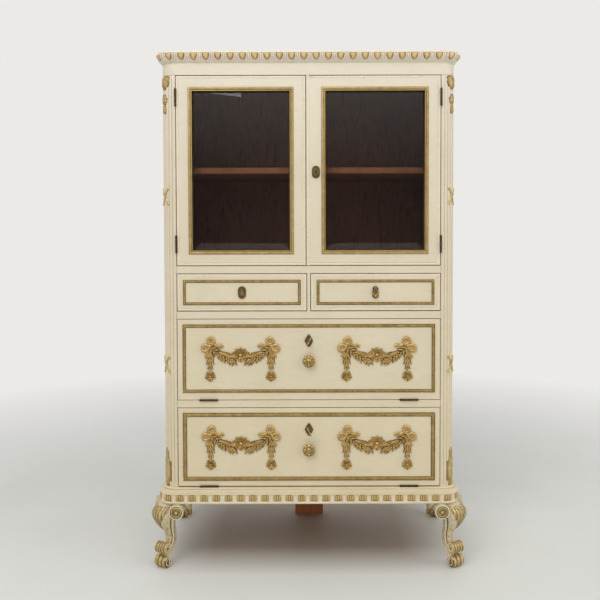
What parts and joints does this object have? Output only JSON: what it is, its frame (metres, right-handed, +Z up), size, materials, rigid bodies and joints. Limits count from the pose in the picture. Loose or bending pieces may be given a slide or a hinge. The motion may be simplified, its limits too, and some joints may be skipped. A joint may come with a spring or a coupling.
{
  "type": "display cabinet",
  "caption": "Painted and gilded display cabinet on cabriole legs, with glazed doors over small drawers and fall-front compartments with carved garlands.",
  "frame": {"origin": "on the floor, under the middle of the cabinet's box", "axes": "+X to the right seen from the front, +Y from the front to the back, +Z up"},
  "size_m": [0.968, 0.492, 1.5594],
  "materials": {
    "cream_paint": "aged cream paint on carved wood, slightly worn",
    "gilding": "old gilding on carved wood",
    "bare_wood": "plain brown wood",
    "dark_bronze": "darkened brass",
    "brass": "dull brass",
    "glass": "clear polished glass"
  },
  "bodies": {
    "case": {"left_side_panel": "cream_paint", "right_side_panel": "cream_paint", "back_panel": "bare_wood", "top_board": "cream_paint", "bottom_board": "bare_wood", "middle_board": "cream_paint", "drawer_board": "cream_paint", "display_floor": "cream_paint", "drawer_divider": "cream_paint", "drawer_guides": "bare_wood", "stop_strips": "bare_wood", "display_shelf": "bare_wood", "shelf_pegs": "brass", "frieze": "cream_paint", "cornice": "cream_paint", "cornice_tongues": "gilding", "plinth": "cream_paint", "plinth_tongues": "gilding", "left_post": "cream_paint", "right_post": "cream_paint", "post_ornaments": "gilding", "front_left_leg": "cream_paint", "front_right_leg": "cream_paint", "rear_left_leg": "cream_paint", "rear_right_leg": "cream_paint", "centre_support": "bare_wood", "fixed_hinge_leaves": "dark_bronze"},
    "left_door": {"left_door_stiles": "cream_paint", "left_door_rails": "cream_paint", "left_door_bead": "gilding", "left_door_glass": "glass", "left_door_hinge_leaves": "dark_bronze"},
    "right_door": {"right_door_stiles": "cream_paint", "right_door_rails": "cream_paint", "right_door_bead": "gilding", "right_door_glass": "glass", "right_door_hinge_leaves": "dark_bronze", "right_door_lock": "brass", "right_door_escutcheon": "dark_bronze"},
    "left_drawer": {"left_drawer_front": "cream_paint", "left_drawer_box": "bare_wood", "left_drawer_bottom": "bare_wood", "left_drawer_trim": "gilding"},
    "right_drawer": {"right_drawer_front": "cream_paint", "right_drawer_box": "bare_wood", "right_drawer_bottom": "bare_wood", "right_drawer_trim": "gilding"},
    "drawer_pull": {"drawer_pull": "dark_bronze"},
    "upper_flap": {"upper_flap_panel": "cream_paint", "upper_flap_trim": "gilding", "upper_flap_fittings": "dark_bronze", "upper_flap_lock": "brass"},
    "upper_flap_bolt": {"upper_flap_bolt": "brass"},
    "upper_flap_key": {"upper_flap_key": "brass"},
    "lower_flap": {"lower_flap_panel": "cream_paint", "lower_flap_trim": "gilding", "lower_flap_fittings": "dark_bronze", "lower_flap_lock": "brass"},
    "lower_flap_bolt": {"lower_flap_bolt": "brass"},
    "lower_flap_key": {"lower_flap_key": "brass"}
  },
  "joints": [
    {"name": "left_door_hinge", "type": "hinge", "parent": "case", "child": "left_door", "pos_m": [-0.39715, -0.2073, 1.2], "axis": [0, 0, -1], "range_deg": [0, 110]},
    {"name": "right_door_hinge", "type": "hinge", "parent": "case", "child": "right_door", "pos_m": [0.39715, -0.2073, 1.2], "axis": [0, 0, 1], "range_deg": [0, 110]},
    {"name": "left_drawer_slide", "type": "slide", "parent": "case", "child": "left_drawer", "axis": [0, -1, 0], "range_m": [0, 0.3]},
    {"name": "right_drawer_slide", "type": "slide", "parent": "case", "child": "right_drawer", "axis": [0, -1, 0], "range_m": [0, 0.3]},
    {"name": "drawer_pull_swing", "type": "hinge", "parent": "right_drawer", "child": "drawer_pull", "pos_m": [0.201, -0.2107, 0.85555], "axis": [-1, 0, 0], "range_deg": [0, 85]},
    {"name": "upper_flap_hinge", "type": "hinge", "parent": "case", "child": "upper_flap", "pos_m": [0, -0.2073, 0.51535], "axis": [1, 0, 0], "range_deg": [0, 90]},
    {"name": "upper_key_turn", "type": "hinge", "parent": "upper_flap", "child": "upper_flap_key", "pos_m": [0, -0.204, 0.6964], "axis": [0, -1, 0], "range_deg": [0, 180]},
    {"name": "upper_bolt_throw", "type": "slide", "parent": "upper_flap", "child": "upper_flap_bolt", "axis": [0, 0, 1], "range_m": [0, 0.007]},
    {"name": "lower_flap_hinge", "type": "hinge", "parent": "case", "child": "lower_flap", "pos_m": [0, -0.2073, 0.2523], "axis": [1, 0, 0], "range_deg": [0, 90]},
    {"name": "lower_key_turn", "type": "hinge", "parent": "lower_flap", "child": "lower_flap_key", "pos_m": [0, -0.204, 0.4268], "axis": [0, -1, 0], "range_deg": [0, 180]},
    {"name": "lower_bolt_throw", "type": "slide", "parent": "lower_flap", "child": "lower_flap_bolt", "axis": [0, 0, 1], "range_m": [0, 0.007]}
  ],
  "couplings": [
    {"joint": "upper_key_turn", "follows": "upper_bolt_throw", "rad_per_m": 448.8},
    {"joint": "lower_key_turn", "follows": "lower_bolt_throw", "rad_per_m": 448.8}
  ]
}
